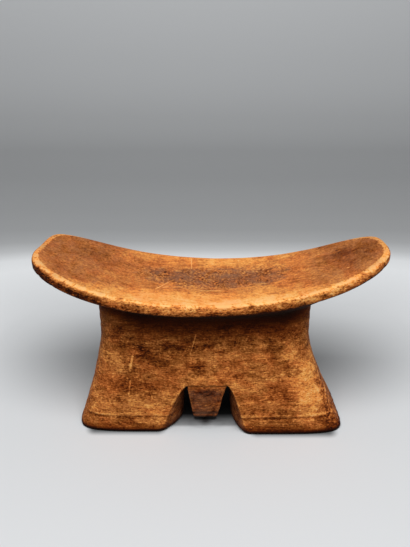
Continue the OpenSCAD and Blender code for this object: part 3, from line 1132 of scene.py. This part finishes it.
# Each ring near the block: its reach to the sides, the front and the back, its height, and how light it is.
# The darkest, right under the block, are painted shade. The wide rings reach as far to every side, and their
# shades paint light and shade across the floor and up the wall.
near_rings_with_painted_shade = (
    (0.045, 0.0095, 0.032, 0, 0.03),
    (0.050, 0.0160, 0.040, 0, 0.33),
    (0.062, 0.0230, 0.045, 0, 0.34),
    (0.066, 0.0258, 0.050, 0, 0.68),
    (0.080, 0.034, 0.080, 0, 0.735),
)
wide_rings = (
    (0.20, 0, 0.745),
    (0.26, 0, 0.88),
    (0.31, 0, 0.985),
    (0.345, 0, 0.95),
    (0.38, 0, 0.68),
    (0.42, 0, 0.515),
    (0.48, 0, 0.455),
    (0.60, 0, 0.46),
    (0.90, 0, 0.50),
    (1.15, 0.02, 0.52),
    (1.30, 0.09, 0.575),
    (1.37, 0.25, 0.73),
    (1.40, 0.50, 0.90),
    (1.40, 1.0, 0.92),
)
sweep_rings = near_rings_with_painted_shade + tuple((reach, reach, reach, *rest) for reach, *rest in wide_rings)
corners = [(0, 0, 0)]
shades = [sweep_rings[0][-1]]
for reach_x, reach_front, reach_back, height, shade in sweep_rings:
    for step in range(sweep_steps):
        turn = 2 * math.pi * step / sweep_steps
        stretch = abs(math.cos(turn)) ** sweep_squareness + abs(math.sin(turn)) ** sweep_squareness
        reach = stretch ** (-1 / sweep_squareness)
        reach_y = reach_back if math.sin(turn) > 0 else reach_front
        corners.append((reach_x * reach * math.cos(turn), reach_y * reach * math.sin(turn), height))
        shades.append(shade)
faces = [(0, 1 + step, 1 + (step + 1) % sweep_steps) for step in range(sweep_steps)]
for ring in range(len(sweep_rings) - 1):
    first = 1 + ring * sweep_steps
    for step in range(sweep_steps):
        a = first + step
        b = first + (step + 1) % sweep_steps
        faces.append((a, a + sweep_steps, b + sweep_steps, b))
sweep_mesh = bpy.data.meshes.new("paper_sweep")
sweep_mesh.from_pydata(corners, [], faces)
sweep_mesh.attributes.new("shade", "FLOAT", "POINT").data.foreach_set("value", shades)
sweep_mesh.shade_smooth()
sweep = bpy.data.objects.new("paper_sweep", sweep_mesh)
bpy.context.scene.collection.objects.link(sweep)

paper = bpy.data.materials.new("grey paper")
paper.use_nodes = True
paper_tree = paper.node_tree
paper_surface = paper_tree.nodes["Principled BSDF"]
paper_shade = put(paper_tree, "ShaderNodeAttribute", {}, attribute_name="shade").outputs["Fac"]
floor_place = put(paper_tree, "ShaderNodeTexCoord", {}).outputs["Object"]
floor_place = shift(paper_tree, "DIVIDE", floor_place, (mm, mm, mm))

# Painted contact shadow at each place that the block nearly touches, in millimetres: its middle, half its
# size, and how far it fades.
painted_contact_shadows = (
    ((-62, 0, 0), (22, 28, 9), 9),
    ((58, 0, 0), (25, 31, 9), 9),
    ((-5, 0, 0), (6, 14.5, 9), 3.6),
)
contact_shadow_full = 1.5
contact_shadow_level = 0.2
for middle, half, fade in painted_contact_shadows:
    beside = shift(paper_tree, "ABSOLUTE", shift(paper_tree, "SUBTRACT", floor_place, middle))
    beyond = shift(paper_tree, "MAXIMUM", shift(paper_tree, "SUBTRACT", beside, half), (0, 0, 0))
    beyond = shift(paper_tree, "LENGTH", beyond)
    painted_contact_shadow = swing(paper_tree, beyond, contact_shadow_full, fade, contact_shadow_level, 1.0)
    paper_shade = calc(paper_tree, "MULTIPLY", paper_shade, painted_contact_shadow)

# Painted light under the front of the tongue, and a wide painted shadow behind the block: the middle and
# reach of each, where it starts and ends as a share of the reach, and its level.
painted_light_and_shadow_spots = (
    ((-4, -21, 0), (11, 5.5, 9), 0.2, 1.2, 1.9),
    ((0, 98, 0), (215, 128, 60), 0.2, 1.1, 0.5),
)
for middle, reach, start, end, level in painted_light_and_shadow_spots:
    away = shift(paper_tree, "SUBTRACT", floor_place, middle)
    away = shift(paper_tree, "LENGTH", shift(paper_tree, "DIVIDE", away, reach))
    painted_spot = swing(paper_tree, away, start, end, level, 1.0)
    paper_shade = calc(paper_tree, "MULTIPLY", paper_shade, painted_spot)

# The paper throws less light on the wood than the camera sees on it.
paper_bounce = 0.4
paper_tint = (0.96, 0.98, 1.0, 1)
ray = put(paper_tree, "ShaderNodeLightPath", {}).outputs
in_sight = calc(paper_tree, "MAXIMUM", ray["Is Camera Ray"], ray["Is Glossy Ray"])
in_sight = calc(paper_tree, "MAXIMUM", in_sight, ray["Is Transmission Ray"])
paper_level = swing(paper_tree, in_sight, 0.0, 1.0, paper_bounce, 1.0)
paper_level = calc(paper_tree, "MULTIPLY", paper_shade, paper_level)
paper_colour = paint(paper_tree, paper_tint, paper_level, 1.0, "MULTIPLY")
feed(paper_tree, paper_surface.inputs["Base Color"], paper_colour)
paper_surface.inputs["Roughness"].default_value = 0.9
paper_surface.inputs["Specular IOR Level"].default_value = 0.1
sweep.data.materials.append(paper)

world = bpy.data.worlds.new("studio")
bpy.context.scene.world = world
world.use_nodes = True
world.node_tree.nodes["Background"].inputs["Color"].default_value = (0.99, 1, 1, 1)
world.node_tree.nodes["Background"].inputs["Strength"].default_value = 0.2

light_place = Vector((0.0, -0.8, 1.43))
light_aim = Vector((0, 0, 0.05))
lamp = bpy.data.lights.new("softbox", "AREA")
lamp.shape = "RECTANGLE"
lamp.size = 1.6
lamp.size_y = 0.8
lamp.energy = 27.5
softbox = bpy.data.objects.new("softbox", lamp)
bpy.context.scene.collection.objects.link(softbox)
softbox.location = light_place
softbox.rotation_euler = (light_aim - light_place).to_track_quat("-Z", "Y").to_euler()

view_target = Vector((-5.2, 0, 110.1)) * mm
view_distance = 0.3935
view_elevation = math.radians(21)
camera_data = bpy.data.cameras.new("camera")
camera_data.sensor_fit = "VERTICAL"
camera_data.sensor_height = 36
camera_data.lens = 36.855
camera = bpy.data.objects.new("camera", camera_data)
bpy.context.scene.collection.objects.link(camera)
back = Vector((0, -math.cos(view_elevation), math.sin(view_elevation)))
camera.location = view_target + back * view_distance
camera.rotation_euler = (-back).to_track_quat("-Z", "Y").to_euler()
bpy.context.scene.camera = camera
bpy.context.scene.view_settings.view_transform = "Standard"
